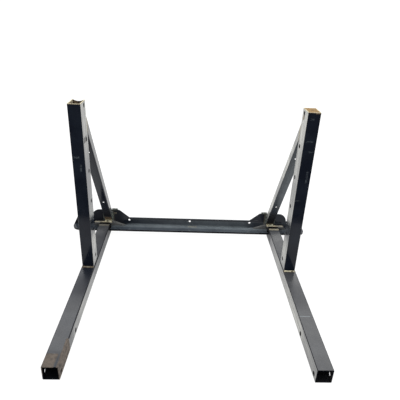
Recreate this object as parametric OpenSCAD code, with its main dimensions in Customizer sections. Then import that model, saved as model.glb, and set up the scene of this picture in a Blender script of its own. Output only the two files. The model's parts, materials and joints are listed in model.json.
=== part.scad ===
// Welded box-section stand: two floor rails, two uprights on them, two raking channel braces
// and one pressed rear cross-member. Rigid, all joints welded.
// Millimetres, Z up, floor at Z 0, origin on the floor in the middle of the footprint.
// The open rail ends face -Y, the cross-member is at +Y.

/* [Overall] */
// Outside width over the two floor rails
frame_w = 844; // [600:1:1200]
// Rail front end to the front face of the cross-member flange
rail_l = 868; // [500:1:1400]
// Full height over the uprights
stand_h = 686; // [400:1:1100]

/* [Floor rails] */
// Square tube size
rail_s = 50; // [30:1:80]
// Wall thickness
rail_wall = 3; // [2:0.5:6]
// Outside corner radius
rail_r = 2.5; // [1:0.5:10]
// Cross-bolt hole diameter
rail_hole_d = 14; // [6:0.5:20]
// Cross-bolt hole centre above the floor
rail_hole_z = 14; // [10:0.5:40]
// First cross-bolt hole from the open end
rail_hole_y1 = 20; // [12:1:60]
// Second cross-bolt hole from the open end
rail_hole_y2 = 185; // [80:1:300]

/* [Uprights] */
// Tube width across the stand
post_w = 44; // [25:1:60]
// Tube depth along the rails
post_d = 68; // [40:1:100]
// Wall thickness
post_wall = 3; // [2:0.5:6]
// Outside corner radius
post_r = 2.5; // [1:0.5:10]
// Front face of the uprights from the rail front ends
post_y = 490; // [300:1:700]
// Step from the rail's inner face to the upright's inner face
post_inset = 2.5; // [0:0.5:10]
// Side hole diameter
post_hole_d = 11; // [6:0.5:16]
// Side holes in each upright
post_holes = 6; // [1:1:8]
// Side hole pitch
post_hole_pitch = 118.5; // [60:0.5:160]
// Lowest side hole above the floor
post_hole_z1 = 80; // [65:0.5:150]
// Side hole row in front of the upright's rear face
post_hole_back = 23; // [12:1:50]
// Depth of the dip in the rear wall of the open top
top_dip = 5; // [0:0.5:15]
// Thickness of the closing plate on the right upright
cap_t = 3; // [2:0.5:6]

/* [Braces] */
// Channel width over the flanges
brace_w = 35; // [20:1:50]
// Channel depth over web and flange
brace_h = 32; // [15:1:50]
// Channel sheet thickness
brace_t = 3; // [2:0.5:5]
// Outside bend radius
brace_r = 4; // [1:0.5:8]
// Height at which the inner rear edge leaves the upright
brace_top_z = 630; // [400:1:680]
// Inner face of the brace from the middle of the stand, at its top
brace_top_x = 375; // [300:1:420]
// The same at its foot
brace_foot_x = 365; // [300:1:420]
// Web hole diameter
brace_hole_d = 10; // [5:0.5:16]
// Lower web hole above the foot, along the brace
brace_hole_1 = 154; // [60:1:250]
// Upper web hole above the foot, along the brace
brace_hole_2 = 493; // [300:1:550]

/* [Cross-member] */
// Overall width at the bend
cross_w = 1090; // [900:1:1400]
// Sheet thickness
cross_t = 4; // [2:0.5:6]
// Depth of the horizontal flange, lip included
cross_d = 50; // [30:1:80]
// Height of the horizontal flange's top face
cross_z = 33; // [20:1:45]
// Top edge of the upright flange between the ears
cross_top_z = 71; // [55:1:100]
// Depth of the front lip below the horizontal flange's top face
lip_h = 8; // [5:0.5:15]
// Plan radius at the outer front corners
cross_corner_r = 35; // [5:1:40]
// Setback of the upright flange's top corner at each end
cross_rake = 18; // [0:1:40]
// Flange hole diameter
cross_hole_d = 10; // [5:0.5:16]
// Flange hole centre above the floor
cross_hole_z = 58; // [45:0.5:65]
// Distance between neighbouring flange holes
cross_hole_pitch = 286; // [150:1:330]
// Top edge of the ears behind the braces
ear_z = 109; // [80:1:150]
// Inner end of the ear's flat top from the middle
ear_in_x = 332; // [290:1:350]
// Outer edge of the ear from the middle
ear_out_x = 460; // [430:1:480]
// Radius of the ear's outer corner
ear_r = 38; // [5:1:38]

/* [Saddles] */
// Plate thickness
saddle_t = 5; // [3:0.5:8]
// Depth in front of the upright flange
saddle_d = 25; // [15:1:45]
// How far the flat top runs past the rail towards the middle
saddle_in = 7; // [0:1:20]
// How far the flat top runs past the rail outwards
saddle_out = 22; // [0:1:35]
// Width of the sloping wing towards the middle
wing_in = 60; // [10:1:75]
// Width of the sloping wing outwards
wing_out = 20; // [10:1:40]
// Depth of both wings in front of the upright flange
wing_d = 12; // [5:1:15]

/* [Weld beads] */
// Leg length of an ordinary bead
bead = 4; // [2:0.5:8]
// Depth of the broad bead in front of each brace foot
foot_bead_d = 16; // [5:1:20]
// Leg length of the upright beads beside each brace foot
side_bead = 8; // [3:0.5:10]
// Leg length of the small bead in front of each saddle
bead_small = 3; // [1:0.5:5]
// Length of the bead pad on top of each ear
pad_l = 27; // [10:1:40]
// Height of that pad
pad_h = 8; // [3:0.5:12]

/* [Hidden] */
$fn = 48;
e = 1;
depth = rail_l + cross_t;
y0 = -depth / 2;
flange_y = y0 + rail_l;
rail_x = frame_w / 2 - rail_s / 2;
rail_in_x = frame_w / 2 - rail_s;
post_x = rail_in_x + post_inset + post_w / 2;
post_front = y0 + post_y;
post_rear = post_front + post_d;
post_l = stand_h - rail_s;
saddle_z = rail_s + saddle_t;
cross_in_z = cross_z - cross_t;
foot_y = flange_y - brace_t - 1;
notch_weld_l = cross_d - saddle_d;

// The brace web starts in the corner between saddle and ear, and the rear edge of its
// flanges meets the upright at brace_top_z: the lean follows from both.
rise = brace_top_z - saddle_z;
run = foot_y - post_rear;
brace_lean = atan2(run, rise) + asin(brace_h / norm([run, rise]));
brace_splay = atan2(brace_top_x - brace_foot_x, rise);
brace_cut_l = 800;

POST_COL = [0.11, 0.12, 0.14];
RAIL_COL = [0.20, 0.21, 0.23];
CROSS_COL = [0.22, 0.24, 0.26];
BRACE_COL = [0.24, 0.26, 0.29];
RUST_COL = [0.62, 0.50, 0.34];
WELD_COL = [0.55, 0.50, 0.40];

// ---- profiles ----

// Rectangle with rounded corners, centred.
module rounded(w, d, r) {
    square([w - 2 * r, d], center = true);
    square([w, d - 2 * r], center = true);
    for (x = [-1, 1], y = [-1, 1])
        translate([x * (w / 2 - r), y * (d / 2 - r)])
            circle(r = r);
}

// Tube section, centred.
module tube(w, d, wall, r) {
    difference() {
        rounded(w, d, r);
        rounded(w - 2 * wall, d - 2 * wall, max(r - wall, 0.5));
    }
}

// Channel section: the web at -Y, the flanges running to Y 0, the inner flange at X 0.
module channel(w, h, t, r) {
    difference() {
        union() {
            translate([0, -h + r])
                square([w, h - r]);
            translate([r, -h])
                square([w - 2 * r, r + e]);
            for (x = [r, w - r])
                translate([x, -h + r])
                    circle(r = r);
        }
        translate([t, -h + t])
            square([w - 2 * t, h]);
    }
}

// Quarter-round weld section, its corner at the origin, lying towards -X and +Y.
module bead_section(leg) {
    intersection() {
        circle(r = leg);
        translate([-leg, 0])
            square(leg);
    }
}

// Bead along X, centred, its corner on the X axis, lying towards -Y and +Z.
module bead_along_x(l, leg) {
    translate([-l / 2, 0, 0])
        rotate([90, 0, 90])
            linear_extrude(l)
                bead_section(leg);
}

// Everything is drawn for the right side; the left side mirrors it.
module on_left() {
    mirror([1, 0, 0])
        children();
}

// ---- floor rails ----

module rail() {
    difference() {
        translate([rail_x, flange_y, rail_s / 2])
            rotate([90, 0, 0])
                linear_extrude(rail_l)
                    tube(rail_s, rail_s, rail_wall, rail_r);
        for (y = [rail_hole_y1, rail_hole_y2])
            translate([rail_x, y0 + y, rail_hole_z])
                rotate([0, 90, 0])
                    cylinder(d = rail_hole_d, h = rail_s + 2 * e, center = true);
    }
}

// ---- uprights ----

module post() {
    difference() {
        translate([post_x, (post_front + post_rear) / 2, rail_s])
            linear_extrude(post_l)
                tube(post_w, post_d, post_wall, post_r);
        for (i = [0 : post_holes - 1])
            translate([post_x, post_rear - post_hole_back, post_hole_z1 + i * post_hole_pitch])
                rotate([0, 90, 0])
                    cylinder(d = post_hole_d, h = post_w + 2 * e, center = true);
    }
}

// Shallow round dip worn into the rear wall of the open left upright.
module top_dip_cut() {
    dip_w = post_w - 2.5 * post_wall;
    dip_r = (dip_w * dip_w / 4 + top_dip * top_dip) / (2 * top_dip);
    translate([post_x, post_rear - post_wall / 2, stand_h + dip_r - top_dip])
        rotate([90, 0, 0])
            cylinder(r = dip_r, h = post_wall + 2 * e, center = true);
}

// Closing plate set inside the right upright, flush with its top edge.
module post_cap() {
    translate([post_x, (post_front + post_rear) / 2, stand_h - cap_t])
        linear_extrude(cap_t)
            rounded(post_w - 2 * post_wall, post_d - 2 * post_wall, max(post_r - post_wall, 0.5));
}

// ---- braces ----

// Puts its children in the brace's own frame: Z up along the brace, Y 0 the rear edges
// of the flanges, X 0 the inner face, the web's foot at the corner behind the saddle.
module on_brace() {
    translate([brace_foot_x, foot_y, saddle_z])
        rotate([brace_lean, brace_splay, 0])
            translate([0, brace_h, 0])
                children();
}

module brace() {
    difference() {
        on_brace()
            translate([0, 0, -brace_h])
                linear_extrude(brace_cut_l)
                    channel(brace_w, brace_h, brace_t, brace_r);
        // the upright's rear face
        translate([post_x, post_rear - brace_cut_l / 2, stand_h])
            cube([200, brace_cut_l, brace_cut_l], center = true);
        // the saddle's top face
        translate([post_x, foot_y, saddle_z - 100])
            cube([200, 300, 200], center = true);
        // the ear's front face
        translate([post_x, flange_y + 100, saddle_z])
            cube([200, 200, 400], center = true);
        for (z = [brace_hole_1, brace_hole_2])
            on_brace()
                translate([brace_w / 2, -brace_h + brace_t / 2, z])
                    rotate([90, 0, 0])
                        cylinder(d = brace_hole_d, h = brace_t + 2 * e, center = true);
    }
}

// ---- cross-member ----

// Plan of the horizontal flange, right half, Y 0 the front face of the upright flange.
module flange_plan(inset = 0) {
    half = cross_w / 2 - inset;
    front = -cross_d + inset;
    r = cross_corner_r - inset;
    translate([0, front])
        square([half - r, cross_t - front]);
    translate([0, front + r])
        square([half, cross_t - front - r]);
    translate([half - r, front + r])
        intersection() {
            circle(r = r);
            translate([0, -r])
                square(r);
        }
}

// Front strip of that plan, round the corner, for the lip.
module lip_plan() {
    difference() {
        flange_plan();
        flange_plan(cross_t);
        translate([0, -cross_d + cross_corner_r])
            square([cross_w, cross_d]);
    }
}

// Face of the upright flange with its ear, right half, drawn in X and Z.
module flange_face() {
    half = cross_w / 2;
    polygon([
        [0, cross_in_z],
        [half, cross_in_z],
        [half, cross_z],
        [half - cross_rake, cross_top_z],
        [ear_out_x, cross_top_z],
        [ear_out_x, ear_z - ear_r],
        [ear_out_x - ear_r, ear_z - ear_r],
        [ear_out_x - ear_r, ear_z],
        [ear_in_x, ear_z],
        [cross_hole_pitch, cross_top_z],
        [0, cross_top_z]
    ]);
    translate([ear_out_x - ear_r, ear_z - ear_r])
        circle(r = ear_r);
}

module crossmember_half() {
    translate([0, flange_y, cross_in_z])
        linear_extrude(cross_t)
            flange_plan();
    translate([0, flange_y, cross_z - lip_h])
        linear_extrude(lip_h)
            lip_plan();
    translate([0, flange_y + cross_t, 0])
        rotate([90, 0, 0])
            linear_extrude(cross_t)
                flange_face();
}

// Notch for the rail end, up to the upright flange.
module rail_notch() {
    translate([rail_in_x, flange_y - 2 * cross_d, -e])
        cube([rail_s, 2 * cross_d, rail_s + e]);
}

// ---- saddles ----

// Bar across the rail end, with a wedge on each side that slopes down to the horizontal flange.
module saddle() {
    out_x = rail_in_x + rail_s;
    bar_in_x = rail_in_x - saddle_in;
    bar_out_x = out_x + saddle_out;
    translate([0, flange_y, 0])
        rotate([90, 0, 0]) {
            linear_extrude(saddle_d)
                translate([bar_in_x, rail_s])
                    square([bar_out_x - bar_in_x, saddle_t]);
            linear_extrude(wing_d) {
                polygon([
                    [bar_in_x - wing_in, cross_z],
                    [bar_in_x, saddle_z],
                    [rail_in_x, saddle_z],
                    [rail_in_x, cross_z]
                ]);
                polygon([
                    [out_x, cross_z],
                    [out_x, saddle_z],
                    [bar_out_x, saddle_z],
                    [bar_out_x + wing_out, cross_z]
                ]);
            }
        }
}

// ---- weld beads ----

module weld_post_front() {
    translate([post_x, post_front, rail_s])
        bead_along_x(post_w, bead);
}

module weld_post_rear() {
    translate([post_x, post_rear, rail_s])
        mirror([0, 1, 0])
            bead_along_x(post_w, bead);
}

// Small bead along the front edge of the saddle, on the rail.
module weld_saddle() {
    translate([rail_x, flange_y - saddle_d, rail_s])
        bead_along_x(rail_s - 2 * rail_r, bead_small);
}

// Space taken by the brace, for cutting the beads that lie against it.
module brace_space() {
    on_brace()
        translate([0, -brace_h, -brace_h])
            cube([brace_w, brace_h, brace_cut_l]);
}

// Broad bead in front of the brace foot, sloping down to the saddle's front edge.
module weld_brace_foot() {
    difference() {
        translate([brace_foot_x + e, foot_y, saddle_z])
            rotate([90, 0, 90])
                linear_extrude(brace_w - 2 * e)
                    polygon([
                        [0, 0],
                        [-foot_bead_d, 0],
                        [-foot_bead_d + 2, 2],
                        [0, bead]
                    ]);
        brace_space();
    }
}

// Upright bead on the front of the ear, its corner at the origin, lying towards +X and -Y.
module bead_up_ear() {
    rotate([0, 0, 180])
        linear_extrude(ear_z - saddle_z - bead)
            bead_section(side_bead);
}

// Upright bead between the inner flange of the brace and the ear.
module weld_brace_inner() {
    difference() {
        translate([brace_foot_x + e, flange_y, saddle_z])
            mirror([1, 0, 0])
                bead_up_ear();
        brace_space();
    }
}

// Upright bead between the outer flange of the brace and the ear.
module weld_brace_outer() {
    difference() {
        translate([brace_foot_x + brace_w, flange_y, saddle_z])
            bead_up_ear();
        brace_space();
    }
}

// Bead under the brace's web where it meets the rear face of the upright.
module weld_brace_top() {
    web_top_z = brace_top_z - brace_h / sin(brace_lean);
    difference() {
        translate([brace_top_x + brace_w / 2, post_rear, web_top_z - 2 * bead])
            mirror([0, 1, 0])
                bead_along_x(brace_w - 2 * brace_r, 2 * bead);
        brace_space();
    }
}

// Pad of weld on the ear's top edge beside the inner flange of the brace.
module weld_ear() {
    translate([brace_foot_x - pad_l / 2, flange_y + cross_t, ear_z])
        bead_along_x(pad_l, pad_h);
}

// Beads on the horizontal flange along both sides of the rail, in front of the saddle.
module weld_notch_inner() {
    translate([rail_in_x, flange_y - saddle_d, cross_z])
        rotate([90, 0, 0])
            linear_extrude(notch_weld_l)
                bead_section(bead);
}

module weld_notch_outer() {
    translate([rail_in_x + rail_s, flange_y - saddle_d, cross_z])
        rotate([90, 0, 0])
            linear_extrude(notch_weld_l)
                mirror([1, 0])
                    bead_section(bead);
}

// ---- nodes ----

module rail_right() { color(RAIL_COL) rail(); }
module rail_left() { color(RAIL_COL) on_left() rail(); }

module post_right() { color(POST_COL) post(); }
module post_left() {
    color(POST_COL)
        on_left()
            difference() {
                post();
                top_dip_cut();
            }
}
module post_cap_right() { color(RUST_COL) post_cap(); }

module brace_right() { color(BRACE_COL) brace(); }
module brace_left() { color(BRACE_COL) on_left() brace(); }

module crossmember() {
    color(CROSS_COL)
        difference() {
            union() {
                crossmember_half();
                on_left() crossmember_half();
            }
            rail_notch();
            on_left() rail_notch();
            for (i = [-1 : 1])
                translate([i * cross_hole_pitch, flange_y + cross_t / 2, cross_hole_z])
                    rotate([90, 0, 0])
                        cylinder(d = cross_hole_d, h = cross_t + 2 * e, center = true);
        }
}

module saddle_right() { color(WELD_COL) saddle(); }
module saddle_left() { color(WELD_COL) on_left() saddle(); }

module weld_post_front_right() { color(WELD_COL) weld_post_front(); }
module weld_post_front_left() { color(WELD_COL) on_left() weld_post_front(); }
module weld_post_rear_right() { color(WELD_COL) weld_post_rear(); }
module weld_post_rear_left() { color(WELD_COL) on_left() weld_post_rear(); }
module weld_saddle_right() { color(WELD_COL) weld_saddle(); }
module weld_saddle_left() { color(WELD_COL) on_left() weld_saddle(); }
module weld_brace_foot_right() { color(WELD_COL) weld_brace_foot(); }
module weld_brace_foot_left() { color(WELD_COL) on_left() weld_brace_foot(); }
module weld_brace_inner_right() { color(WELD_COL) weld_brace_inner(); }
module weld_brace_inner_left() { color(WELD_COL) on_left() weld_brace_inner(); }
module weld_brace_outer_right() { color(WELD_COL) weld_brace_outer(); }
module weld_brace_outer_left() { color(WELD_COL) on_left() weld_brace_outer(); }
module weld_brace_top_right() { color(WELD_COL) weld_brace_top(); }
module weld_brace_top_left() { color(WELD_COL) on_left() weld_brace_top(); }
module weld_ear_right() { color(WELD_COL) weld_ear(); }
module weld_ear_left() { color(WELD_COL) on_left() weld_ear(); }
module weld_notch_inner_right() { color(WELD_COL) weld_notch_inner(); }
module weld_notch_inner_left() { color(WELD_COL) on_left() weld_notch_inner(); }
module weld_notch_outer_right() { color(WELD_COL) weld_notch_outer(); }
module weld_notch_outer_left() { color(WELD_COL) on_left() weld_notch_outer(); }

// ---- drawing ----

rail_left();
rail_right();
post_left();
post_right();
post_cap_right();
brace_left();
brace_right();
crossmember();
saddle_left();
saddle_right();
weld_post_front_left();
weld_post_front_right();
weld_post_rear_left();
weld_post_rear_right();
weld_saddle_left();
weld_saddle_right();
weld_brace_foot_left();
weld_brace_foot_right();
weld_brace_inner_left();
weld_brace_inner_right();
weld_brace_outer_left();
weld_brace_outer_right();
weld_brace_top_left();
weld_brace_top_right();
weld_ear_left();
weld_ear_right();
weld_notch_inner_left();
weld_notch_inner_right();
weld_notch_outer_left();
weld_notch_outer_right();
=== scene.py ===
"""Looks of the welded box-section stand.

Worn black paint with dust, mud and rust, rippled weld beads, and a plain floor, light and camera.
"""

import json
import math
import random

import bpy
from mathutils import Matrix, Vector


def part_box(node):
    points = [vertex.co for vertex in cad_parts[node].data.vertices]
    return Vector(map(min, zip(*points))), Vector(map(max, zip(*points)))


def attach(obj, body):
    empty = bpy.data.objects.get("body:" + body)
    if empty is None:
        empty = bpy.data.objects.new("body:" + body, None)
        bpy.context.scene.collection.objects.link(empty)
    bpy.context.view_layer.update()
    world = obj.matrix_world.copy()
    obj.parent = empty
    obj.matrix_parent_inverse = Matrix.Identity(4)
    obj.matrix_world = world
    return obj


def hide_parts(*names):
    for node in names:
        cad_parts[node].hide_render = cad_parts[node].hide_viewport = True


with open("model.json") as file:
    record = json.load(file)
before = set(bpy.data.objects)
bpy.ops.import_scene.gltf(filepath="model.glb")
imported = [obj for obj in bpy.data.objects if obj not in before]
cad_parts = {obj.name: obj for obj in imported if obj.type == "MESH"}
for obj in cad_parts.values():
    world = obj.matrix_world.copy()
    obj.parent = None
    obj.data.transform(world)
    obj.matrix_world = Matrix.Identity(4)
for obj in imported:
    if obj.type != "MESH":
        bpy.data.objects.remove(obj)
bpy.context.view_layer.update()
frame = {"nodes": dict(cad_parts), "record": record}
nodes = frame["nodes"]
mounts = {m["name"]: m for m in frame["record"]["mounts"]}

# ---- places taken from the frame ----

RAIL_LO, RAIL_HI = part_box("rail_right")
POST_LO, POST_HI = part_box("post_right")
SADDLE_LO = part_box("saddle_right")[0]
RAIL_MIDDLE_X = (RAIL_LO.x + RAIL_HI.x) / 2
RAIL_MIDDLE_Z = (RAIL_LO.z + RAIL_HI.z) / 2
# The rails' open front ends, and the front of the cross-member's upright flange.
FRONT_Y = RAIL_LO.y
FLANGE_Y = RAIL_HI.y
# The upper face of the cross-member's level flange, and the top of the uprights.
FLANGE_Z = SADDLE_LO.z
TOP_Z = POST_HI.z

# ---- sizes that the boxes don't give ----

# Wall of the rails and uprights.
WALL = 0.003
# Top edge of the upright flange, between the ears.
CROSS_TOP_Z = 0.071
# How far a brace leans outward for each metre that it rises.
BRACE_SPLAY = 0.0175
# How far into the wall the inside of a tube keeps its own look.
INNER_SKIN = 0.0008
# Radius that the paint's edges are shaded with.
PAINT_EDGE = 0.0012
# The same for bare metal and weld beads.
METAL_EDGE = 0.0010

# ---- colours, linear ----

# The paint's blue tint stands in for the bluish cast of shade and reflections: painted light as well as
# paint colour.
PAINT = (0.0028, 0.0042, 0.0085)
PAINT_WORN = (0.0060, 0.0085, 0.0140)
# Black without gloss for painted shade and painted dark reflection; with Metallic on, it reflects almost
# nothing.
DULL_SHADE_BLACK = (0.0125, 0.0130, 0.0165)
DUST = (0.275, 0.275, 0.262)
# The cool dust's blue tint stands in for the bluish cast of shade and reflections: painted light as well as
# dust.
DUST_WITH_BLUE_SHADE = (0.235, 0.270, 0.290)
SCUFFED = (0.340, 0.400, 0.420)
# Pale grey of rubbed paint, also used to paint light reflections on the inner faces.
RUBBED_AND_REFLECTION_GREY = (0.445, 0.445, 0.415)
MUD = (0.077, 0.063, 0.052)
MUD_DARK = (0.050, 0.042, 0.036)
MUD_DRY = (0.125, 0.102, 0.084)
RUST_TAN = (0.205, 0.150, 0.085)
RUST_BROWN = (0.062, 0.042, 0.024)
RUST_DARK = (0.018, 0.011, 0.007)
CAP_DARK = (0.095, 0.060, 0.026)
CAP_LIGHT = (0.160, 0.112, 0.052)
GOLD = (0.180, 0.106, 0.036)
CREAM = (0.47, 0.455, 0.335)
TAN = tuple(c * 0.38 for c in CREAM)
PALE_GREEN = (0.080, 0.092, 0.078)
GREY_GREEN = (0.085, 0.100, 0.085)
DEEP_GREEN = (0.025, 0.030, 0.026)
DEEP_PAINTED = (0.020, 0.024, 0.022)
# Near black: weld soot, and painted shadow under the saddles' fronts.
SOOT_AND_SHADE = (0.012, 0.010, 0.008)
DEEP_SOOT_AND_SHADE = (0.006, 0.005, 0.004)

# ---- how the surfaces take light ----

# Index of refraction: the paint's is below clear varnish's, and dry rust shines least.
PAINT_IOR = 1.32
CAP_IOR = 1.2
# Strength of the fine relief.
BUMP_STRENGTH = 0.6


class Tree:
    """Short calls for one material's node tree."""

    def __init__(self, name):
        self.material = bpy.data.materials.new(name)
        self.material.use_nodes = True
        self.tree = self.material.node_tree
        self.tree.nodes.clear()
        self.shader = self.node("ShaderNodeBsdfPrincipled")
        out = self.node("ShaderNodeOutputMaterial")
        self.link(self.shader.outputs["BSDF"], out.inputs["Surface"])
        self.place = self.node("ShaderNodeTexCoord").outputs["Object"]
        self.x, self.y, self.z = self.split(self.place)
        self.true_normal = self.node("ShaderNodeNewGeometry").outputs["True Normal"]
        self.nx, self.ny, self.nz = self.split(self.true_normal)

    def node(self, kind, **settings):
        made = self.tree.nodes.new(kind)
        for key, value in settings.items():
            setattr(made, key, value)
        return made

    def link(self, source, target):
        self.tree.links.new(source, target)

    def split(self, vector):
        made = self.node("ShaderNodeSeparateXYZ")
        self.link(vector, made.inputs[0])
        return made.outputs

    def feed(self, value, socket):
        """Puts a number, a colour or another node's output into a socket."""
        if isinstance(value, bpy.types.NodeSocket):
            self.link(value, socket)
        elif isinstance(value, tuple) and len(value) == 3 and socket.type == "RGBA":
            socket.default_value = (*value, 1.0)
        else:
            socket.default_value = value

    def math(self, operation, a, b=0.0):
        made = self.node("ShaderNodeMath", operation=operation)
        self.feed(a, made.inputs[0])
        self.feed(b, made.inputs[1])
        return made.outputs[0]

    def vector(self, operation, a, b):
        made = self.node("ShaderNodeVectorMath", operation=operation)
        self.feed(a, made.inputs[0])
        self.feed(b, made.inputs[1])
        return made

    def noise(self, scale, detail=4.0, roughness=0.55, stretch=(1, 1, 1), seed=0.0):
        place = self.vector("MULTIPLY", self.place, stretch).outputs["Vector"]
        made = self.node("ShaderNodeTexNoise", noise_dimensions="4D")
        self.link(place, made.inputs["Vector"])
        made.inputs["W"].default_value = seed
        made.inputs["Scale"].default_value = scale
        made.inputs["Detail"].default_value = detail
        made.inputs["Roughness"].default_value = roughness
        return made.outputs["Fac"]

    def ramp(self, value, low, high):
        """Smooth 0 to 1 as the value goes from low to high; low may be the larger."""
        made = self.node("ShaderNodeMapRange", interpolation_type="SMOOTHSTEP")
        flip = low > high
        self.feed(value, made.inputs["Value"])
        made.inputs["From Min"].default_value = min(low, high)
        made.inputs["From Max"].default_value = max(low, high)
        made.inputs["To Min"].default_value = 1.0 if flip else 0.0
        made.inputs["To Max"].default_value = 0.0 if flip else 1.0
        return made.outputs["Result"]

    def profile(self, value, stops):
        """A curve through (place, amount) stops, straight between them."""
        first, last = stops[0][0], stops[-1][0]
        along = self.node("ShaderNodeMapRange")
        self.feed(value, along.inputs["Value"])
        along.inputs["From Min"].default_value = first
        along.inputs["From Max"].default_value = last
        curve = self.node("ShaderNodeValToRGB")
        self.link(along.outputs["Result"], curve.inputs["Fac"])
        points = curve.color_ramp.elements
        for place, _ in stops[1:-1]:
            points.new((place - first) / (last - first))
        for point, (_, amount) in zip(points, stops):
            point.color = (amount, amount, amount, 1)
        return curve.outputs["Color"]

    def mix(self, factor, a, b, kind="RGBA"):
        """From a to b as the factor goes from 0 to 1, for colours."""
        made = self.node("ShaderNodeMix", data_type=kind)
        self.feed(factor, made.inputs["Factor"])
        self.feed(a, made.inputs["A"])
        self.feed(b, made.inputs["B"])
        return made.outputs["Result"]

    def blend(self, factor, a, b):
        """The same for numbers."""
        return self.mix(factor, a, b, "FLOAT")

    def most(self, *values):
        made = values[0]
        for value in values[1:]:
            made = self.math("MAXIMUM", made, value)
        return made

    def times(self, *values):
        made = values[0]
        for value in values[1:]:
            made = self.math("MULTIPLY", made, value)
        return made

    def plus(self, a, b):
        return self.math("ADD", a, b)

    def inverse(self, mask):
        return self.math("SUBTRACT", 1.0, mask)

    def away(self, value, centre):
        """Distance of one coordinate from a centre."""
        return self.math("ABSOLUTE", self.math("SUBTRACT", value, centre))

    def block(self, low, high, reach):
        """1 inside a box, falling to 0 at the reach outside it."""
        low, high = Vector(low), Vector(high)
        off = self.vector("SUBTRACT", self.place, tuple((low + high) / 2)).outputs["Vector"]
        off = self.vector("ABSOLUTE", off, (0, 0, 0)).outputs["Vector"]
        off = self.vector("SUBTRACT", off, tuple((high - low) / 2)).outputs["Vector"]
        off = self.vector("MAXIMUM", off, (0, 0, 0)).outputs["Vector"]
        return self.ramp(self.vector("LENGTH", off, (0, 0, 0)).outputs["Value"], reach, 0.0)

    def ring(self, rise, centre_y, radius, wide):
        """1 at the rim of a hole along X, falling to 0 at so many radii; rise is the height off its axis."""
        across = self.away(self.y, centre_y)
        reach = self.math("SQRT", self.plus(self.times(rise, rise), self.times(across, across)))
        return self.ramp(reach, radius * wide, radius)

    def bore_rim(self, mount, wide):
        """The ring of one bore that runs along X."""
        _, centre_y, centre_z = mount["pos_m"]
        return self.ring(self.away(self.z, centre_z), centre_y, mount["dims"]["r_mm"] / 1000, wide)

    def hollow(self, *spans):
        """1 on the inner walls of a tube; a span is a coordinate, its middle and half the hollow's width."""
        past = [self.math("SUBTRACT", self.away(value, middle), half) for value, middle, half in spans]
        return self.ramp(self.most(*past), INNER_SKIN, INNER_SKIN / 4)

    def ragged(self, mask, seed, amount=0.9, scale=70):
        """The mask with its soft edge torn up by noise."""
        torn = self.math("SUBTRACT", self.noise(scale, 6, 0.7, seed=seed), 0.5)
        return self.ramp(self.plus(mask, self.times(torn, amount)), 0.42, 0.58)

    def edge(self, radius):
        """1 along sharp edges, 0 on flats, and the rounded normal that shows them."""
        bevel = self.node("ShaderNodeBevel", samples=6)
        bevel.inputs["Radius"].default_value = radius
        dot = self.vector("DOT_PRODUCT", bevel.outputs["Normal"], self.true_normal)
        return self.ramp(dot.outputs["Value"], 0.99, 0.80), bevel.outputs["Normal"]

    def finish(self, colour, roughness, height, depth, normal):
        """Connects the shader, with a bump of the given depth, and returns the material."""
        self.feed(colour, self.shader.inputs["Base Color"])
        self.feed(roughness, self.shader.inputs["Roughness"])
        bump = self.node("ShaderNodeBump")
        bump.inputs["Distance"].default_value = depth
        bump.inputs["Strength"].default_value = BUMP_STRENGTH
        self.link(height, bump.inputs["Height"])
        self.link(normal, bump.inputs["Normal"])
        self.link(bump.outputs["Normal"], self.shader.inputs["Normal"])
        return self.material


# ---- finishes ----


def rust_colour(t, seed):
    """Dry rust, from tan to dark brown, in patches with fine grain."""
    patch = t.ramp(t.noise(60, 5, 0.65, seed=seed), 0.38, 0.62)
    grain = t.ramp(t.noise(420, 3, 0.6, seed=seed + 3), 0.35, 0.7)
    body = t.mix(patch, RUST_BROWN, RUST_TAN)
    return t.mix(t.times(grain, 0.45), body, RUST_DARK)


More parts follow.
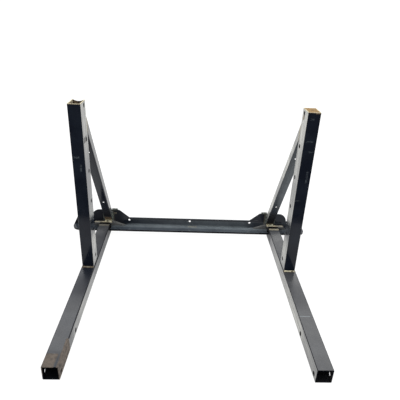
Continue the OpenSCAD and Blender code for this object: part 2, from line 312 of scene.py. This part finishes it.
def black_paint(t, seed, dust=0.0, rubbed_and_reflection=0.0, scuffs=0.0, mud=0.0, rust=0.0, bare_and_highlight=0.0, dull_and_painted_shade=0.0,
                grain=(1, 1, 1), dust_colour=DUST):
    """Worn gloss black. The layers over it are masks from 0 to 1; grain stretches the streaks."""
    edge, round_normal = t.edge(PAINT_EDGE)

    # The coat itself, lighter where it has lost some gloss.
    tone = t.ramp(t.noise(9, 4, seed=seed), 0.35, 0.65)
    colour = t.mix(tone, PAINT, PAINT_WORN)

    # A film of dust, in soft clouds with a fine grain.
    haze = t.blend(t.ramp(t.noise(18, 5, 0.65, seed=seed + 1), 0.32, 0.70), 0.78, 1.12)
    fine = t.blend(t.noise(300, 3, 0.6, grain, seed + 2), 0.75, 1.25)
    dusty = t.times(dust, haze, fine)
    colour = t.mix(dusty, colour, dust_colour)

    # Rubbed streaks along the piece, a few hair scratches, and scuffs; on the inner faces of rails and
    # uprights the rubbed layer also paints the lighter and darker reflections.
    broad = t.ramp(t.noise(75, 3, 0.55, grain, seed + 3), 0.38, 0.62)
    thin = t.ramp(t.noise(330, 2, 0.5, grain, seed + 4), 0.42, 0.62)
    worn = t.times(rubbed_and_reflection, t.blend(thin, 0.65, 1.12), t.blend(broad, 0.48, 1.06))
    hairs = t.times(t.ramp(t.noise(240, 2, 0.5, grain, seed + 5), 0.735, 0.775), 0.15)
    worn = t.most(worn, hairs)
    colour = t.mix(worn, colour, RUBBED_AND_REFLECTION_GREY)
    colour = t.mix(scuffs, colour, SCUFFED)

    # Mud with a torn edge, drier and paler on the sides than on top.
    mud = t.ragged(mud, seed + 6, 1.15, 50)
    clods = t.ramp(t.noise(85, 6, 0.7, seed=seed + 7), 0.36, 0.60)
    dried = t.mix(t.ramp(t.nz, 0.7, 0.1), MUD, MUD_DRY)
    colour = t.mix(mud, colour, t.mix(clods, MUD_DARK, dried))

    # Rust where asked, and a little of it along broken edges and in specks.
    worn_edge = t.ragged(t.times(edge, 0.8), seed + 8, 1.6, 110)
    spots = t.ramp(t.noise(95, 4, 0.6, seed=seed + 9), 0.745, 0.765)
    rusty = t.most(t.ragged(rust, seed + 10), t.times(t.most(worn_edge, spots), 0.35))
    colour = t.mix(rusty, colour, rust_colour(t, seed))

    # Bare metal with, in places, a painted highlight, and dull black that takes the gloss away: painted
    # shade and painted dark reflection.
    speckle = t.ramp(t.noise(260, 4, 0.65, seed=seed + 14), 0.40, 0.62)
    colour = t.mix(bare_and_highlight, colour, t.mix(speckle, RUST_TAN, CREAM))
    colour = t.mix(dull_and_painted_shade, colour, DULL_SHADE_BLACK)
    t.feed(dull_and_painted_shade, t.shader.inputs["Metallic"])

    gloss = t.blend(t.ramp(t.noise(33, 4, seed=seed + 11), 0.3, 0.7), 0.08, 0.17)
    rough = t.blend(t.math("MINIMUM", t.times(dusty, 2.2), 1.0), gloss, 0.42)
    rough = t.blend(worn, rough, 0.5)
    rough = t.blend(t.most(rusty, mud, bare_and_highlight, dull_and_painted_shade), rough, 0.85)
    t.shader.inputs["IOR"].default_value = PAINT_IOR
    ripple = t.times(t.noise(38, 3, 0.5, seed=seed + 12), 0.16)
    pits = t.times(t.most(rusty, bare_and_highlight, t.times(mud, clods)), t.noise(360, 4, 0.7, seed=seed + 13))
    return t.finish(colour, rough, t.plus(ripple, pits), 0.0007, round_normal)


def weld_metal(name, seed, pale, deep, light, soot_and_shade=0.0):
    """Weld metal: a pale crust over darker burnt metal; light is how much is pale."""
    t = Tree(name)
    crust = t.ramp(t.noise(130, 5, 0.65, seed=seed), 0.66 - 0.3 * light, 0.80 - 0.3 * light)
    warm = t.ramp(t.noise(60, 4, 0.6, seed=seed + 2), 0.45, 0.70)
    warm_pale = tuple(a * b for a, b in zip(pale, (1.0, 0.93, 0.80)))
    colour = t.mix(crust, deep, t.mix(warm, pale, warm_pale))
    grain = t.noise(420, 5, 0.7, seed=seed + 8)
    colour = t.mix(t.times(t.ramp(grain, 0.55, 0.70), 0.4), colour, RUST_DARK)
    # Metallic with a near-black colour takes the gloss away: soot, and painted shadow where asked.
    t.feed(soot_and_shade, t.shader.inputs["Metallic"])
    return t.finish(colour, t.blend(crust, 0.45, 0.8), grain, 0.0009, t.edge(METAL_EDGE)[1])


# ---- which pieces get which finish ----


def side_sign(side):
    return -1.0 if side == "left" else 1.0


def inward(t, side):
    """1 on faces that look towards the middle of the stand."""
    return t.ramp(t.times(t.nx, -side_sign(side)), 0.90, 0.99)


def upward(t):
    """1 on faces that look up."""
    return t.ramp(t.nz, 0.95, 0.995)


def forward(t):
    """1 on faces that look to the front."""
    return t.ramp(t.ny, -0.90, -0.98)


def weld_soot(t, names, reach):
    """Burnt paint beside the named welds."""
    made = 0.0
    for name in names:
        made = t.most(t.block(*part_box(name), reach), made)
    return made


# How the finish changes along each rail, in stops of y and amount from front to rear: the film of dust on
# top; how rubbed the inner side is, which also paints lighter and darker reflections on it; and the dull
# black on the inner side and on top, which is painted dark reflection.
RAIL_FILM = {
    "left": [(-0.15, 0.09), (-0.10, 0.03), (0.05, 0.01), (0.30, 0.075), (0.35, 0.12)],
    "right": [(0.0, 0.125), (0.13, 0.06), (0.24, 0.16), (0.34, 0.24), (0.37, 0.12)],
}
RAIL_RUBBED_AND_REFLECTION = {
    "left": [(-0.32, 0.0), (-0.26, 0.45), (-0.21, 0.25), (-0.15, 0.55), (-0.09, 0.28), (0.0, 0.25),
             (0.05, 0.0)],
    "right": [(-0.29, 0.40), (-0.24, 0.9), (-0.15, 1.0), (-0.05, 0.95), (0.06, 0.42), (0.20, 0.33),
              (0.30, 0.03)],
}
RAIL_INNER_DARK_REFLECTION = {
    "left": [(-0.33, 0.0), (-0.31, 0.22), (-0.28, 0.18), (-0.26, 0.0), (0.02, 0.0), (0.06, 0.16),
             (0.20, 0.35), (0.30, 0.33), (0.35, 0.48)],
    "right": [(0.20, 0.0), (0.30, 0.10), (0.35, 0.42)],
}
RAIL_TOP_DARK_REFLECTION = {
    "left": [(-0.40, 0.50), (-0.37, 0.15), (-0.24, 0.13), (-0.14, 0.25), (-0.09, 0.36), (-0.03, 0.32),
             (0.02, 0.15), (0.14, 0.48), (0.28, 0.48), (0.36, 0.0)],
    "right": [(-0.20, 0.08), (-0.14, 0.27), (-0.05, 0.20), (0.0, 0.0)],
}
# How much painted shade darkens the inside of each rail.
RAIL_INSIDE_SHADE = {"left": 1.0, "right": 0.8}
# In front of each saddle a painted shadow darkens the rail's top from this far out, behind a band of weld
# crust, which is this much bare.
SADDLE_SHADE = {"left": 0.007, "right": 0.010}
SADDLE_CRUST = {"left": 0.17, "right": 0.50}


def front_mud(t):
    """Mud over the front end of the left rail: across its top, and further back on its inner side."""
    start_y = FRONT_Y + 0.001
    inner_x = -RAIL_LO.x
    on_top = t.block((-1, start_y, RAIL_MIDDLE_Z), (inner_x - 0.020, FRONT_Y + 0.044, 1), 0.012)
    on_side = t.block((inner_x - 0.001, start_y, 0), (0, FRONT_Y + 0.106, 1), 0.012)
    return t.most(on_top, on_side)


def cross_scuff(t):
    """A thin pale scuff across the top of the right rail."""
    scuff_y = FRONT_Y + 0.228
    low = (RAIL_LO.x + 0.004, scuff_y, 0.04)
    high = (RAIL_LO.x + 0.038, scuff_y + 0.001, 1)
    return t.times(t.block(low, high, 0.0016), 0.25)


def rail_finish(side):
    t = Tree("rail_paint_" + side)
    seed = 3 if side == "left" else 17
    half = (RAIL_HI.z - RAIL_LO.z) / 2 - WALL
    top = upward(t)
    inner = inward(t, side)
    inside = t.hollow((t.x, side_sign(side) * RAIL_MIDDLE_X, half), (t.z, RAIL_MIDDLE_Z, half))
    holes = t.most(
        t.bore_rim(mounts["rail_bolt_front"], 1.25),
        t.bore_rim(mounts["rail_bolt_rear"], 1.3),
    )
    # Painted dark reflection along the rounded long edges.
    shoulder_dark_reflection = t.times(t.ramp(t.nz, 0.15, 0.35), t.ramp(t.nz, 0.985, 0.93), 0.75)
    inner_dark_reflection = t.profile(t.y, RAIL_INNER_DARK_REFLECTION[side])
    top_dark_reflection_and_shadow = t.profile(t.y, RAIL_TOP_DARK_REFLECTION[side])
    rust = t.times(weld_soot(t, ["weld_post_front_" + side], 0.006), 0.6)
    shade_y = SADDLE_LO.y - SADDLE_SHADE[side]
    crust = t.block((-1, shade_y - 0.013, 0), (1, shade_y - 0.003, 1), 0.004)
    crust = t.times(top, t.ragged(crust, seed + 22, 0.7), SADDLE_CRUST[side])
    scuffs = 0.0
    mud = 0.0
    if side == "left":
        mud = t.times(front_mud(t), t.inverse(inside))
        clean = t.inverse(mud)
        # Painted dark reflection along the top of the inner side.
        top_edge_dark_reflection = t.ramp(t.z, RAIL_HI.z - 0.007, RAIL_HI.z - 0.004)
        inner_dark_reflection = t.most(inner_dark_reflection, t.times(top_edge_dark_reflection, clean))
        top_dark_reflection_and_shadow = t.times(top_dark_reflection_and_shadow, clean)
        shoulder_dark_reflection = t.times(shoulder_dark_reflection, clean)
    else:
        scuffs = cross_scuff(t)
    # Painted shadow on the rail's top in front of each saddle.
    top_dark_reflection_and_shadow = t.most(top_dark_reflection_and_shadow, t.ramp(t.y, shade_y - 0.002, shade_y + 0.002))
    # Dull black: painted shade inside the tube, painted dark reflection on the inner side, edges and top,
    # and dark rims round the bolt holes.
    dull_and_painted_shade = t.most(
        t.times(inner, t.most(holes, inner_dark_reflection)),
        t.times(inside, RAIL_INSIDE_SHADE[side]),
        shoulder_dark_reflection,
        t.times(top, top_dark_reflection_and_shadow),
    )
    return black_paint(
        t,
        seed,
        dust=t.times(top, t.profile(t.y, RAIL_FILM[side])),
        rubbed_and_reflection=t.times(inner, t.profile(t.y, RAIL_RUBBED_AND_REFLECTION[side])),
        scuffs=scuffs,
        mud=mud,
        rust=rust,
        bare_and_highlight=crust,
        dull_and_painted_shade=dull_and_painted_shade,
        grain=(1, 0.05, 1),
    )


# Scuffs on the fronts of the uprights: off the centre line, height, half width, half height.
SCUFFS = {
    "left": [(-0.006, 0.502, 0.008, 0.003), (0.006, 0.462, 0.002, 0.012)],
    "right": [
        (-0.005, 0.662, 0.005, 0.002),
        (-0.002, 0.585, 0.011, 0.001),
        (0.009, 0.548, 0.008, 0.001),
        (0.008, 0.452, 0.002, 0.022),
        (-0.012, 0.360, 0.009, 0.001),
    ],
}

# How light the inner faces of the uprights are, in stops of height and amount from foot to head: rubbed
# streaks, and painted reflection that is darkest where the cross-member's reflection is painted.
POST_RUBBED_AND_REFLECTION = {
    "left": [(0.08, 0.4), (0.11, 0.85), (0.16, 0.95), (0.19, 0.05), (0.24, 0.0), (0.27, 0.5), (0.31, 0.12),
             (0.47, 0.08), (0.52, 0.4), (0.63, 0.85)],
    "right": [(0.07, 0.45), (0.11, 0.78), (0.15, 0.52), (0.175, 0.40), (0.19, 0.08), (0.24, 0.05),
              (0.27, 0.75), (0.33, 0.58), (0.40, 0.55), (0.44, 0.90), (0.48, 0.72), (0.60, 0.9)],
}


def post_scuffs(t, side, centre_x, seed):
    """The listed scuffs, faint and broken up."""
    scuffs = 0.0
    for off, height, half_width, half_height in SCUFFS[side]:
        low = (centre_x + off - half_width, POST_LO.y, height - half_height)
        high = (centre_x + off + half_width, POST_LO.y, height + half_height)
        scuffs = t.most(t.block(low, high, 0.004), scuffs)
    broken = t.ramp(t.noise(420, 3, 0.6, (0.3, 1, 1), seed), 0.44, 0.60)
    return t.times(scuffs, scuffs, broken, 0.10)


def post_finish(side):
    t = Tree("post_paint_" + side)
    seed = 31 if side == "left" else 47
    centre_x = side_sign(side) * (POST_LO.x + POST_HI.x) / 2
    centre_y = (POST_LO.y + POST_HI.y) / 2
    half_w = (POST_HI.x - POST_LO.x) / 2 - WALL
    half_d = (POST_HI.y - POST_LO.y) / 2 - WALL
    inner = inward(t, side)

    # Dull black round every hole: the height off the nearest hole repeats with the pitch.
    outer_pair = mounts["post_holes_outer_" + side]
    pitch = mounts["post_holes_inner_" + side]["dims"]["spacing_y_mm"] / 1000
    radius = outer_pair["dims"]["hole_r_mm"] / 1000
    hole_y, middle_z = outer_pair["pos_m"][1:]
    along = t.math("PINGPONG", t.math("SUBTRACT", t.z, middle_z), pitch / 2)
    rise = t.math("SUBTRACT", pitch / 2, along)
    hole_rims = t.ragged(t.ring(rise, hole_y, radius, 1.9), seed + 20, 0.7, 160)
    if side == "left":
        second_z = middle_z + outer_pair["dims"]["spacing_y_mm"] / 2000 - pitch
        dark_patch = t.block((-1, POST_LO.y + 0.012, second_z - 0.002), (0, hole_y, second_z + 0.010), 0.008)
        hole_rims = t.most(hole_rims, t.times(t.ragged(dark_patch, seed + 23, 0.9), 0.45))

    # The cut top edge is bare, and the right upright has a rusty corner and a rust drip.
    rust = t.times(weld_soot(t, ["weld_post_front_" + side], 0.004), 0.5)
    bare_and_highlight = t.ramp(t.z, TOP_Z - 0.0022, TOP_Z - 0.0004)
    if side == "right":
        chip = t.block((centre_x + 0.006, 0, TOP_Z - 0.003), (1, POST_LO.y + 0.003, TOP_Z), 0.004)
        drip = t.block((0, hole_y - 0.004, TOP_Z - 0.034), (1, hole_y + 0.004, TOP_Z - 0.018), 0.004)
        rust = t.most(rust, chip, t.times(inner, drip))

    # Inside the tube: rust near the mouth, with a painted highlight on the wall that catches the light, then
    # painted shade.
    inside = t.hollow((t.x, centre_x, half_w), (t.y, centre_y, half_d))
    mouth = t.ramp(t.z, TOP_Z - 0.055, TOP_Z - 0.012)
    bare_and_highlight = t.most(bare_and_highlight, t.times(inside, mouth, inner, 0.75))
    rust = t.most(rust, t.times(inside, mouth, 0.55))
    dull_and_painted_shade = t.most(t.times(hole_rims, inner), t.times(inside, t.inverse(mouth)))
    return black_paint(
        t,
        seed,
        rubbed_and_reflection=t.times(inner, t.profile(t.z, POST_RUBBED_AND_REFLECTION[side])),
        scuffs=post_scuffs(t, side, centre_x, seed + 21),
        rust=rust,
        bare_and_highlight=bare_and_highlight,
        dull_and_painted_shade=dull_and_painted_shade,
        grain=(1, 1, 0.05),
    )


# Dust on the web of each brace, on its inboard and outboard parts; how rubbed its inner edge is; and
# how bare its toe is.
BRACE_FILM = {"left": (0.0, 0.02), "right": (0.21, 0.29)}
BRACE_RUBBED = {"left": 0.16, "right": 0.78}
BRACE_TOE = {"left": 0.85, "right": 0.5}


def brace_finish(side):
    t = Tree("brace_paint_" + side)
    seed = 61 if side == "left" else 73
    low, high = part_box("brace_" + side)
    foot_x = max(abs(v.x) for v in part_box("weld_brace_inner_" + side))
    web = t.ramp(t.nz, -0.35, -0.45)
    leaning = t.math("SUBTRACT", t.math("ABSOLUTE", t.x), t.times(t.z, BRACE_SPLAY))
    outboard = t.ramp(leaning, foot_x + 0.010, foot_x + 0.017)
    dusty_end = t.ramp(t.z, low.z + 0.02, low.z + 0.27)
    rust = 0.0
    if side == "left":
        rust = t.times(web, t.ramp(t.z, low.z + 0.038, low.z + 0.020), 0.75)
    seam = t.times(t.ramp(t.y, POST_HI.y + 0.014, POST_HI.y + 0.002), t.ramp(t.z, high.z - 0.12, high.z))
    toe = t.times(web, t.ramp(t.z, low.z + 0.0095, low.z + 0.0075), BRACE_TOE[side])
    dull_and_painted_shade = t.times(web, t.ramp(t.z, low.z + 0.10, low.z + 0.03), 0.8)
    return black_paint(
        t,
        seed,
        dust=t.times(web, dusty_end, t.blend(outboard, *BRACE_FILM[side])),
        rubbed_and_reflection=t.times(inward(t, side), BRACE_RUBBED[side]),
        rust=rust,
        bare_and_highlight=t.most(t.times(t.ragged(seam, seed + 20, 0.6), 0.7), toe),
        dull_and_painted_shade=t.times(dull_and_painted_shade, t.inverse(t.most(rust, toe))),
        grain=(1, 0.15, 0.05),
        dust_colour=DUST_WITH_BLUE_SHADE,
    )


# Dust along the cross-member, in stops of x and amount: on the level flange and on the upright one.
LEVEL_FILM = [(-0.47, 0.03), (-0.40, 0.13), (-0.10, 0.19), (0.15, 0.19), (0.25, 0.23), (0.44, 0.15),
              (0.50, 0.04)]
UPRIGHT_FILM = [(-0.29, 0.0), (-0.22, 0.09), (-0.10, 0.16), (0.15, 0.23), (0.25, 0.22), (0.30, 0.08)]


def flange_ridge(t):
    """1 in the corner between the two flanges of the cross-member."""
    off = t.plus(t.away(t.y, FLANGE_Y), t.away(t.z, FLANGE_Z))
    return t.ramp(off, 0.010, 0.003)


def cross_dust(t):
    """Dust on the flanges, lighter towards the rear and thinning towards the front lip, with a painted
    highlight along the bend in the corner between the flanges.
    """
    rear = t.ramp(t.y, FLANGE_Y - 0.036, FLANGE_Y - 0.010)
    level = t.times(upward(t), t.blend(rear, 0.62, 1.95), t.profile(t.x, LEVEL_FILM))
    between_ears = t.ramp(t.math("ABSOLUTE", t.x), 0.32, 0.24)
    # Painted highlight along the bend, between the ears.
    corner = t.times(flange_ridge(t), between_ears, 0.46)
    below_edge = t.ramp(t.z, CROSS_TOP_Z - 0.004, CROSS_TOP_Z - 0.012)
    upright = t.times(forward(t), below_edge, t.profile(t.x, UPRIGHT_FILM))
    return t.most(level, corner, upright)


def cross_bare(t, seed):
    """Weld smear beside the left brace, a stain near the middle, and burnt paint at the side beads."""
    low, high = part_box("weld_brace_inner_left")
    smear = Vector((high.x + 0.003, FLANGE_Y, high.z - 0.014))
    smear = t.ragged(t.block(smear, smear + Vector((0.008, 0, 0.003)), 0.006), seed + 6, 0.6, 160)
    stain = t.block((-0.005, FLANGE_Y - 0.010, 0), (0.030, FLANGE_Y - 0.004, 1), 0.006)
    stain = t.times(upward(t), t.ragged(stain, seed + 8, 0.8), 0.22)
    side_beads = [name for name in nodes if name.startswith("weld_brace_inner")]
    beside = t.times(forward(t), weld_soot(t, side_beads, 0.008), 0.18)
    return t.most(t.times(smear, 0.55), stain, beside)


def cross_finish():
    t = Tree("cross_paint")
    seed = 89
    # The front lip is dull black: painted dark reflection.
    painted_dark_lip = t.times(forward(t), t.ramp(t.y, FLANGE_Y - 0.020, FLANGE_Y - 0.030))
    # The left ear is darker: painted dark reflection.
    left_ear_dark_reflection = t.times(t.ramp(t.ny, -0.5, -0.98), t.ramp(t.x, -0.30, -0.34), 0.6)
    return black_paint(
        t,
        seed,
        dust=cross_dust(t),
        bare_and_highlight=cross_bare(t, seed),
        dull_and_painted_shade=t.most(painted_dark_lip, left_ear_dark_reflection),
        grain=(0.06, 1, 1),
        dust_colour=DUST_WITH_BLUE_SHADE,
    )


def saddle_finish(side):
    """Dusty strip with a bare front edge, barest near the brace's foot, and a black rear half; its front
    faces are lightened as painted light, and the front face over the rail is painted shadow.
    """
    t = Tree("saddle_paint_" + side)
    seed = 101 if side == "left" else 113
    flat = t.ramp(t.nz, 0.985, 0.998)
    front = forward(t)
    rear = t.times(flat, t.ramp(t.y, SADDLE_LO.y + 0.011, SADDLE_LO.y + 0.015))
    over_rail = t.ramp(t.away(t.math("ABSOLUTE", t.x), RAIL_MIDDLE_X), 0.024, 0.021)
    edge = t.times(flat, t.inverse(rear))
    near_foot = weld_soot(t, ["weld_brace_foot_" + side], 0.020)
    # Painted shadow on the front face over the rail, and a dull black rear half.
    dull_and_painted_shade = t.most(t.times(front, over_rail), t.times(rear, 0.9))
    if side == "left":
        # On the left, painted shade along the front of the top over the rail.
        painted_dark_lip = t.times(edge, over_rail, t.ramp(t.y, SADDLE_LO.y + 0.006, SADDLE_LO.y + 0.003))
        dull_and_painted_shade = t.most(dull_and_painted_shade, t.times(painted_dark_lip, 0.5))
    return black_paint(
        t,
        seed,
        # Dust on the front faces is raised to lift the shade they sit in: partly painted light.
        dust=t.most(t.times(t.ramp(t.nz, 0.85, 0.92), 0.34), t.times(front, 0.30)),
        bare_and_highlight=t.times(edge, t.blend(near_foot, 0.40, 1.0)),
        dull_and_painted_shade=dull_and_painted_shade,
    )


def cap_finish():
    """Golden rust with a dark spot near the middle."""
    t = Tree("cap_steel")
    low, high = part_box("post_cap_right")
    light = t.ramp(t.noise(110, 5, 0.7, seed=5), 0.42, 0.62)
    colour = t.mix(light, CAP_DARK, CAP_LIGHT)
    gold = t.ramp(t.noise(45, 4, 0.6, seed=8), 0.40, 0.60)
    colour = t.mix(t.times(gold, 0.8), colour, GOLD)
    middle = (low + high) / 2
    middle.z = high.z
    spot = t.ragged(t.times(t.block(middle, middle, 0.013), 0.9), 12, 0.6, 160)
    specks = t.ramp(t.noise(210, 4, 0.6, seed=14), 0.58, 0.68)
    colour = t.mix(t.most(t.times(spot, 0.85), t.times(specks, 0.6)), colour, RUST_BROWN)
    grain = t.noise(420, 5, 0.7, seed=16)
    t.shader.inputs["IOR"].default_value = CAP_IOR
    return t.finish(colour, 0.8, grain, 0.0009, t.edge(METAL_EDGE)[1])


def give(node, material):
    data = nodes[node].data
    data.materials.clear()
    data.materials.append(material)


for side in ("left", "right"):
    give("rail_" + side, rail_finish(side))
    give("post_" + side, post_finish(side))
    give("brace_" + side, brace_finish(side))
    give("saddle_" + side, saddle_finish(side))
give("crossmember", cross_finish())
give("post_cap_right", cap_finish())

# ---- weld beads ----

BARE_BEAD = weld_metal("bead_bare", 37, CREAM, RUST_BROWN, 0.85)
TAN_BEAD = weld_metal("bead_tan", 43, TAN, RUST_BROWN, 0.75)
GREY_BEAD = weld_metal("bead_grey", 53, PALE_GREEN, DEEP_GREEN, 0.70)
PAINTED_BEAD = weld_metal("bead_painted", 59, GREY_GREEN, DEEP_PAINTED, 0.70)
# Near black without gloss: burnt weld, and painted shadow in the corner under each saddle's front.
DARK_SHADED_BEAD = weld_metal("bead_dark", 71, SOOT_AND_SHADE, DEEP_SOOT_AND_SHADE, 0.45, soot_and_shade=1.0)

# For each run of weld: the axis that it runs along, on the other two axes the side of its
# box, -1 or 1, where the two plates meet, and its finish. X is given for the right half.
WELD_RUNS = {
    "post_front": ("x", {"y": 1, "z": -1}, BARE_BEAD),
    "post_rear": ("x", {"y": -1, "z": -1}, BARE_BEAD),
    "saddle": ("x", {"y": 1, "z": -1}, DARK_SHADED_BEAD),
    "brace_foot": ("x", {"y": 1, "z": -1}, BARE_BEAD),
    "brace_inner": ("z", {"x": 1, "y": 1}, PAINTED_BEAD),
    "brace_outer": ("z", {"x": -1, "y": 1}, PAINTED_BEAD),
    "brace_top": ("x", {"y": -1, "z": -1}, PAINTED_BEAD),
    "ear": ("x", {"y": 1, "z": -1}, GREY_BEAD),
    "notch_inner": ("y", {"x": 1, "z": -1}, DARK_SHADED_BEAD),
    "notch_outer": ("y", {"x": -1, "z": -1}, DARK_SHADED_BEAD),
}
# Runs on the left half whose finish differs.
LEFT_BEADS = {"post_front": TAN_BEAD}
AXES = {"x": 0, "y": 1, "z": 2}

# Distance between two ripples of weld metal, and between two rings of the bead's mesh.
RIPPLE_PITCH = 0.0026
RING_STEP = 0.0005
# Points on each ring's quarter arc.
ARC_POINTS = 9
# How deep a ripple cuts, as a share of the bead's size, and the smallest ripple's height.
RIPPLE_DEPTH = 0.20
SMALLEST_LUMP = 0.88
# How far a ripple's crescent trails at the middle of the bead, in ripples.
RIPPLE_TRAIL = 0.55


def bead_rings(node, run, corner, sign):
    """Corners of the bead's rings: an arc from one plate to the other, then the root between them."""
    low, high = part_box(node)
    dice = random.Random(node)
    axis = AXES[run]
    across = [AXES[k] for k in corner]
    sides = [v * (sign if k == "x" else 1) for k, v in corner.items()]
    origin = [high[a] if s > 0 else low[a] for a, s in zip(across, sides)]
    legs = [high[a] - low[a] for a in across]
    length = high[axis] - low[axis]
    rings = max(int(length / RING_STEP), 8)
    lumps = [dice.uniform(SMALLEST_LUMP, 1.0) for _ in range(int(length / RIPPLE_PITCH) + 3)]
    verts = []
    for i in range(rings + 1):
        s = i / rings
        taper = math.sqrt(max(1 - (2 * s - 1) ** 16, 0.02))
        for k in range(ARC_POINTS):
            angle = math.pi / 2 * k / (ARC_POINTS - 1)
            phase = s * length / RIPPLE_PITCH + RIPPLE_TRAIL * math.sin(2 * angle)
            ripple = abs(math.sin(math.pi * phase)) ** 0.6
            reach = lumps[int(phase)] * (1 - RIPPLE_DEPTH + RIPPLE_DEPTH * ripple) * taper
            point = [0.0, 0.0, 0.0]
            point[axis] = low[axis] + s * length
            point[across[0]] = origin[0] - sides[0] * legs[0] * reach * math.cos(angle)
            point[across[1]] = origin[1] - sides[1] * legs[1] * reach * math.sin(angle)
            verts.append(point)
        root = [0.0, 0.0, 0.0]
        root[axis] = low[axis] + s * length
        root[across[0]] = origin[0]
        root[across[1]] = origin[1]
        verts.append(root)
    return verts


def skin(ring_size, count):
    """Faces of a closed tube through the points of so many rings, with a lid at each end."""
    faces = []
    for i in range(count - 1):
        for k in range(ring_size):
            a = i * ring_size + k
            b = i * ring_size + (k + 1) % ring_size
            faces.append((a, b, b + ring_size, a + ring_size))
    faces.append(tuple(range(ring_size)))
    faces.append(tuple((count - 1) * ring_size + k for k in range(ring_size)))
    return faces


def weld_bead(node, run, corner, finish, sign):
    """A rippled bead filling the CAD bead's box, built ring by ring along the run."""
    verts = bead_rings(node, run, corner, sign)
    ring_size = ARC_POINTS + 1
    mesh = bpy.data.meshes.new(node + "_bead")
    mesh.from_pydata(verts, [], skin(ring_size, len(verts) // ring_size))
    piece = bpy.data.objects.new(node + "_bead", mesh)
    bpy.context.scene.collection.objects.link(piece)
    bpy.context.view_layer.objects.active = piece
    piece.select_set(True)
    bpy.ops.object.mode_set(mode="EDIT")
    bpy.ops.mesh.select_all(action="SELECT")
    bpy.ops.mesh.normals_make_consistent(inside=False)
    bpy.ops.object.mode_set(mode="OBJECT")
    bpy.ops.object.shade_smooth_by_angle(angle=math.radians(50))
    piece.select_set(False)
    mesh.materials.append(finish)
    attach(piece, "root")
    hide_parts(node)


for side in ("left", "right"):
    for place, (run, corner, finish) in WELD_RUNS.items():
        if side == "left":
            finish = LEFT_BEADS.get(place, finish)
        weld_bead("weld_" + place + "_" + side, run, corner, finish, side_sign(side))

# ---- stage: pale floor, soft light, camera ----


def floor():
    """Pale floor, a little luminous so that only the deepest contact shadows show."""
    bpy.ops.mesh.primitive_plane_add(size=60, location=(0, 20, -0.0002))
    made = bpy.context.object
    made.name = "floor"
    material = bpy.data.materials.new("floor_white")
    material.use_nodes = True
    shader = material.node_tree.nodes["Principled BSDF"]
    shader.inputs["Base Color"].default_value = (0.08, 0.08, 0.08, 1)
    shader.inputs["Roughness"].default_value = 0.9
    shader.inputs["Specular IOR Level"].default_value = 0.0
    shader.inputs["Emission Color"].default_value = (1, 1, 1, 1)
    shader.inputs["Emission Strength"].default_value = 0.96
    made.data.materials.append(material)


def dark_card(name, place, size, turn):
    """Black card that only reflections see."""
    bpy.ops.mesh.primitive_plane_add(size=1, location=place, rotation=turn)
    made = bpy.context.object
    made.name = name
    made.scale = (*size, 1)
    material = bpy.data.materials.new(name)
    material.use_nodes = True
    material.node_tree.nodes["Principled BSDF"].inputs["Base Color"].default_value = (0.02, 0.02, 0.02, 1)
    made.data.materials.append(material)
    made.visible_camera = False
    made.visible_diffuse = False
    made.visible_shadow = False


def soft_light(name, place, target, size, radiance):
    data = bpy.data.lights.new(name, "AREA")
    data.shape = "RECTANGLE"
    data.size, data.size_y = size
    data.energy = radiance * math.pi * size[0] * size[1]
    lamp = bpy.data.objects.new(name, data)
    lamp.location = place
    lamp.rotation_euler = (Vector(target) - Vector(place)).to_track_quat("-Z", "Y").to_euler()
    bpy.context.scene.collection.objects.link(lamp)


def sky(strength):
    world = bpy.data.worlds.new("studio")
    world.use_nodes = True
    world.node_tree.nodes["Background"].inputs["Color"].default_value = (1, 1, 1, 1)
    world.node_tree.nodes["Background"].inputs["Strength"].default_value = strength
    bpy.context.scene.world = world


def camera(place, pitch, yaw, roll, lens):
    """Camera looking along +Y, turned down by pitch, right by yaw and rolled, in degrees; lens in mm."""
    pitch, yaw, roll = (math.radians(a) for a in (pitch, yaw, roll))
    ahead = Vector((math.sin(yaw) * math.cos(pitch), math.cos(yaw) * math.cos(pitch), -math.sin(pitch)))
    level = Vector((math.cos(yaw), -math.sin(yaw), 0))
    above = level.cross(ahead)
    right = math.cos(roll) * level + math.sin(roll) * above
    up = math.cos(roll) * above - math.sin(roll) * level
    data = bpy.data.cameras.new("camera")
    data.sensor_width = 36
    data.lens = lens
    made = bpy.data.objects.new("camera", data)
    made.matrix_world = Matrix.Translation(place) @ Matrix((right, up, -ahead)).transposed().to_4x4()
    bpy.context.scene.collection.objects.link(made)
    bpy.context.scene.camera = made


floor()
dark_card("card_front", (0, FRONT_Y - 2.0, 0.001), (8, 4), (0, 0, 0))
for sign in (-1, 1):
    dark_card(f"card_side_{sign}", (sign * 3.2, 0.6, 0.8), (1.6, 6), (0, math.radians(90), 0))
sky(1.1)
soft_light("top_light", place=(0, 1.5, 2.7), target=(0, 1.5, 0), size=(4.4, 5.0), radiance=3.0)
camera(place=(-0.0283, FRONT_Y - 0.8556, 0.9966), pitch=25.53, yaw=2.41, roll=2.65, lens=37.017)
bpy.context.scene.view_settings.view_transform = "Standard"
